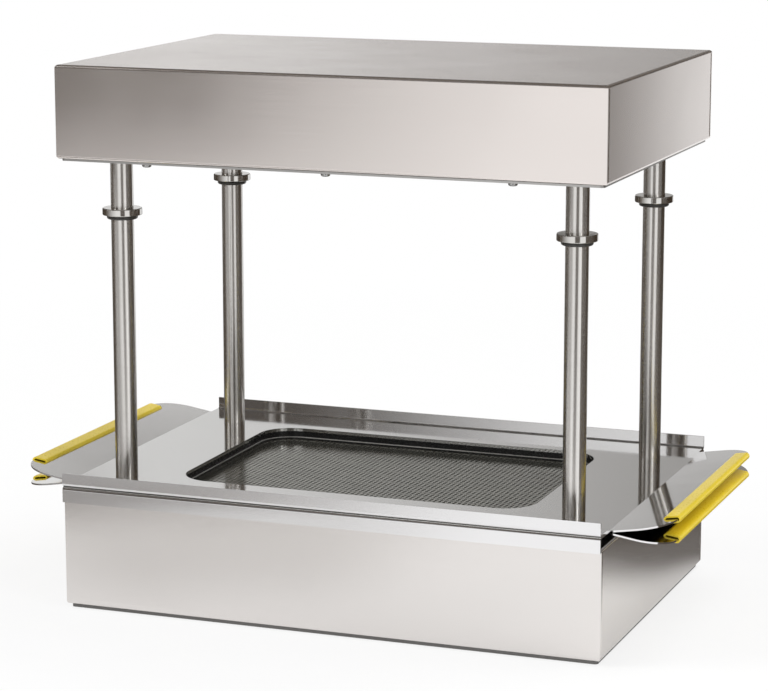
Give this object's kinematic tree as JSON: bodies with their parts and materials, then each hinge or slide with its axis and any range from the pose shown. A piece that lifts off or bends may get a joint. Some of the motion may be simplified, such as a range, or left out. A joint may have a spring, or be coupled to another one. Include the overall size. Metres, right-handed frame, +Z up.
{
  "type": "hobby vacuum forming machine",
  "caption": "Bench vacuum former: folded steel base with a perforated platen, sliding clamp frame on four columns and a heater box above.",
  "frame": {"origin": "on the floor under the middle of the base's footprint, at the centre of the mount base_rest", "axes": "+Z up, +X to the right along the long side as seen by the user, +Y to the back, where the hose spigot and the mains inlet are"},
  "size_m": [0.485, 0.3067, 0.3884],
  "materials": {
    "brushed_shell": "satin brushed stainless sheet, grain along the length",
    "plain_sheet": "plain cold-rolled stainless sheet",
    "mirror_sheet": "mirror-polished stainless sheet",
    "yellow_vinyl": "soft gloss vinyl",
    "column_steel": "ground and polished stainless tube",
    "nickel": "bright nickel plate",
    "black_rubber": "smooth black rubber",
    "perforated_steel": "perforated stainless sheet",
    "zinc_steel": "zinc-plated steel",
    "screw_steel": "plain stainless fastener",
    "black_plastic": "fine-grained black moulding",
    "brass": "stamped brass",
    "white_ceramic": "unglazed white ceramic",
    "reflector_aluminium": "bright anodised sheet",
    "ceramic_fibre": "matted ceramic-fibre blanket",
    "quartz": "milky quartz tube",
    "cable_sheath": "silicone-sheathed cable"
  },
  "bodies": {
    "root": {"base_shell": "brushed_shell", "heater_cover": "brushed_shell", "base_plate": "plain_sheet", "heater_floor": "plain_sheet", "plenum_tray": "plain_sheet", "column_front_left": "column_steel", "column_front_right": "column_steel", "column_back_left": "column_steel", "column_back_right": "column_steel", "stop_ring_front_left": "nickel", "stop_ring_front_right": "nickel", "stop_ring_back_left": "nickel", "stop_ring_back_right": "nickel", "platen_gasket": "black_rubber", "spigot_seal": "black_rubber", "stop_cushion_front_left": "black_rubber", "stop_cushion_front_right": "black_rubber", "stop_cushion_back_left": "black_rubber", "stop_cushion_back_right": "black_rubber", "perforated_platen": "perforated_steel", "column_brace_left": "zinc_steel", "column_brace_right": "zinc_steel", "column_plugs": "zinc_steel", "column_nipples": "zinc_steel", "column_nuts": "zinc_steel", "column_washers": "zinc_steel", "base_clinch_nuts": "zinc_steel", "platen_nuts": "zinc_steel", "heater_clinch_nuts": "zinc_steel", "element_bracket_left": "zinc_steel", "element_bracket_right": "zinc_steel", "base_plate_screws": "screw_steel", "platen_screws": "screw_steel", "spigot_screws": "screw_steel", "inlet_screws": "screw_steel", "heater_floor_screws": "screw_steel", "guard_rails": "screw_steel", "guard_rods": "screw_steel", "power_inlet": "black_plastic", "switch_housing": "black_plastic", "hose_spigot": "black_plastic", "inlet_pins": "brass", "switch_tabs": "brass", "base_terminal_block": "white_ceramic", "heater_terminal_block": "white_ceramic", "element_end_caps": "white_ceramic", "reflector_tray": "reflector_aluminium", "insulation_blanket": "ceramic_fibre", "quartz_elements": "quartz", "supply_cable": "cable_sheath", "heater_cable": "cable_sheath"},
    "lower_frame": {"lower_plate": "mirror_sheet", "lower_trim_left": "yellow_vinyl", "lower_trim_right": "yellow_vinyl"},
    "upper_frame": {"upper_plate": "mirror_sheet", "upper_trim_left": "yellow_vinyl", "upper_trim_right": "yellow_vinyl"},
    "rocker": {"switch_rocker": "black_plastic"}
  },
  "joints": [
    {"name": "frame_lift", "type": "slide", "parent": "root", "child": "lower_frame", "axis": [0, 0, 1], "range_m": [0, 0.1666]},
    {"name": "clamp_lift", "type": "slide", "parent": "lower_frame", "child": "upper_frame", "axis": [0, 0, 1], "range_m": [0, 0.02]},
    {"name": "switch_rock", "type": "hinge", "parent": "root", "child": "rocker", "pos_m": [-0.08, 0.1353, 0.042], "axis": [1, 0, 0], "range_deg": [0, 14]}
  ]
}
